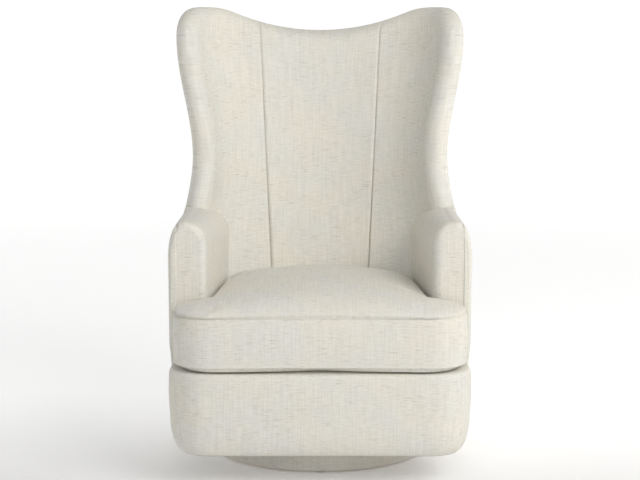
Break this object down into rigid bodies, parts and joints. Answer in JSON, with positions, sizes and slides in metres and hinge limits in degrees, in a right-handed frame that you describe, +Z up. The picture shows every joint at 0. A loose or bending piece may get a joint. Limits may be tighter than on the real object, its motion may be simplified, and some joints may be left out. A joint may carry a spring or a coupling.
{
  "type": "swivel chair",
  "caption": "High-back upholstered wing chair with a loose T-shaped seat cushion that turns on a low round plinth",
  "frame": {"origin": "on the floor under the swivel axis, below the middle of the chair's box", "axes": "+Z up along the swivel axis, +X to the viewer's right when facing the chair, -Y to the chair's front"},
  "size_m": [0.7568, 0.8511, 1.125],
  "materials": {
    "bearing_cage": "satin",
    "black_steel": "satin",
    "bright_steel": "satin",
    "clip_plastic": "matte",
    "cover_fabric": "matte",
    "felt": "matte",
    "foam": "matte",
    "frame_wood": "matte",
    "lining_cloth": "matte",
    "nylon": "matte",
    "spring_steel": "satin",
    "webbing": "matte",
    "zip_metal": "satin",
    "zip_tape": "matte"
  },
  "bodies": {
    "base": {"floor_glides": "nylon", "plinth_drum": "frame_wood", "plinth_cover": "cover_fabric", "plinth_top_board": "frame_wood", "lower_swivel_plate": "black_steel", "lower_plate_screws": "bright_steel", "king_bolt": "bright_steel", "king_washer": "bright_steel", "king_nut": "bright_steel"},
    "bearing": {"bearing_cage": "bearing_cage", "bearing_balls": "bright_steel"},
    "chair_body": {"back_foam": "foam", "back_lower_rail": "frame_wood", "back_rail": "frame_wood", "back_top_rail": "frame_wood", "back_webbing": "webbing", "corner_blocks": "frame_wood", "deck_cloth": "lining_cloth", "deck_pad": "felt", "dust_cover": "lining_cloth", "front_border_cover": "cover_fabric", "front_border_foam": "foam", "front_rail": "frame_wood", "inside_back_middle": "cover_fabric", "left_arm_cover": "cover_fabric", "left_arm_foam": "foam", "left_arm_panel": "frame_wood", "left_back_post": "frame_wood", "left_inside_wing_cover": "cover_fabric", "left_side_cover": "cover_fabric", "left_side_rail": "frame_wood", "left_wing_block": "frame_wood", "left_wing_board": "frame_wood", "mounting_board": "frame_wood", "outside_back_cover": "cover_fabric", "right_arm_cover": "cover_fabric", "right_arm_foam": "foam", "right_arm_panel": "frame_wood", "right_back_post": "frame_wood", "right_inside_wing_cover": "cover_fabric", "right_side_cover": "cover_fabric", "right_side_rail": "frame_wood", "right_wing_block": "frame_wood", "right_wing_board": "frame_wood", "seat_springs": "spring_steel", "spring_clips": "clip_plastic", "upper_plate_bolts": "bright_steel", "upper_plate_nuts": "bright_steel", "upper_swivel_plate": "black_steel"},
    "cushion": {"cushion_foam": "foam", "cushion_top_cover": "cover_fabric", "cushion_bottom_cover": "cover_fabric", "cushion_band": "cover_fabric", "cushion_zip": "zip_tape"},
    "zip": {"zip_slider": "zip_metal"}
  },
  "joints": [
    {"name": "swivel", "type": "hinge", "parent": "base", "child": "chair_body", "pos_m": [0, 0, 0.084], "axis": [0, 0, 1], "continuous": true},
    {"name": "cage_turn", "type": "hinge", "parent": "base", "child": "bearing", "pos_m": [0, 0, 0.084], "axis": [0, 0, 1], "continuous": true},
    {"name": "cushion_lift", "type": "slide", "parent": "chair_body", "child": "cushion", "axis": [0, -0.7071, 0.7071], "range_m": [0, 0.4]},
    {"name": "zip_run", "type": "hinge", "parent": "cushion", "child": "zip", "pos_m": [0, -0.4523, 0.3515], "axis": [0, 0, 1], "range_deg": [-32.7, 0]}
  ],
  "couplings": [
    {"joint": "cage_turn", "follows": "swivel", "ratio": 0.5}
  ]
}
